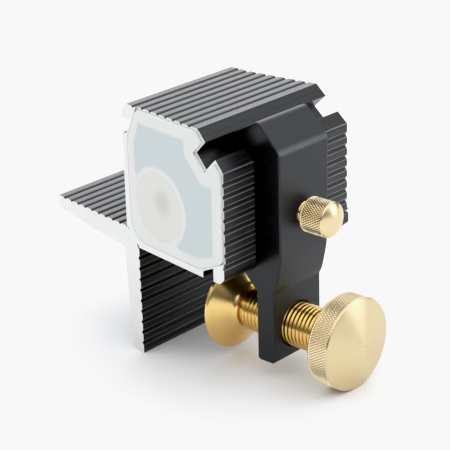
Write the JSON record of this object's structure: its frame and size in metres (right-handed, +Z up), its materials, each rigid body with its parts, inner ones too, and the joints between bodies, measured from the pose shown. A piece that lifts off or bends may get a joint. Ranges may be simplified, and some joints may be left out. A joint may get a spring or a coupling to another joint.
{
  "type": "dovetail saw guide",
  "caption": "Magnetic dovetail saw guide: ribbed square body with two register fins, sloping saw faces, and a sliding clamp arm with a brass clamp screw and swivel foot.",
  "frame": {"origin": "centre of the box's bottom face, which is the stop for the end of the board, at half length", "axes": "+X from the register fins towards the clamp knob, +Y along the ribs from the front saw face to the rear one, +Z up through the box"},
  "size_m": [0.0999, 0.0502, 0.0728],
  "materials": {
    "body": "black anodised extrusion with bare machined ends",
    "arm": "satin black anodised",
    "pad": "translucent low-friction plastic sheet",
    "magnet": "nickel plated",
    "steel": "zinc plated",
    "brass": "turned and knurled, bright"
  },
  "bodies": {
    "guide": {"guide_body": "body", "front_face_pad": "pad", "rear_face_pad": "pad", "front_magnet": "magnet", "rear_magnet": "magnet", "front_magnet_screw": "steel", "rear_magnet_screw": "steel"},
    "arm": {"clamp_arm": "arm"},
    "lock": {"arm_lock_screw": "brass"},
    "foot": {"clamp_foot": "brass"},
    "screw": {"clamp_screw": "brass", "foot_retaining_ring": "steel"}
  },
  "joints": [
    {"name": "arm_slide", "type": "slide", "parent": "guide", "child": "arm", "axis": [0, 1, 0], "range_m": [-0.0105, 0.018]},
    {"name": "lock_screw_turn", "type": "hinge", "parent": "arm", "child": "lock", "pos_m": [0.0308, -0.00366, 0.01603], "axis": [1, 0, 0], "range_deg": [0, 360]},
    {"name": "clamp_foot_slide", "type": "slide", "parent": "arm", "child": "foot", "axis": [1, 0, 0], "range_m": [-0.013, 0.0095]},
    {"name": "clamp_screw_turn", "type": "hinge", "parent": "foot", "child": "screw", "pos_m": [0.0181, -0.00366, -0.01629], "axis": [1, 0, 0], "range_deg": [-3755, 2780]}
  ],
  "couplings": [
    {"joint": "clamp_screw_turn", "follows": "clamp_foot_slide", "rad_per_m": 4947.4}
  ]
}
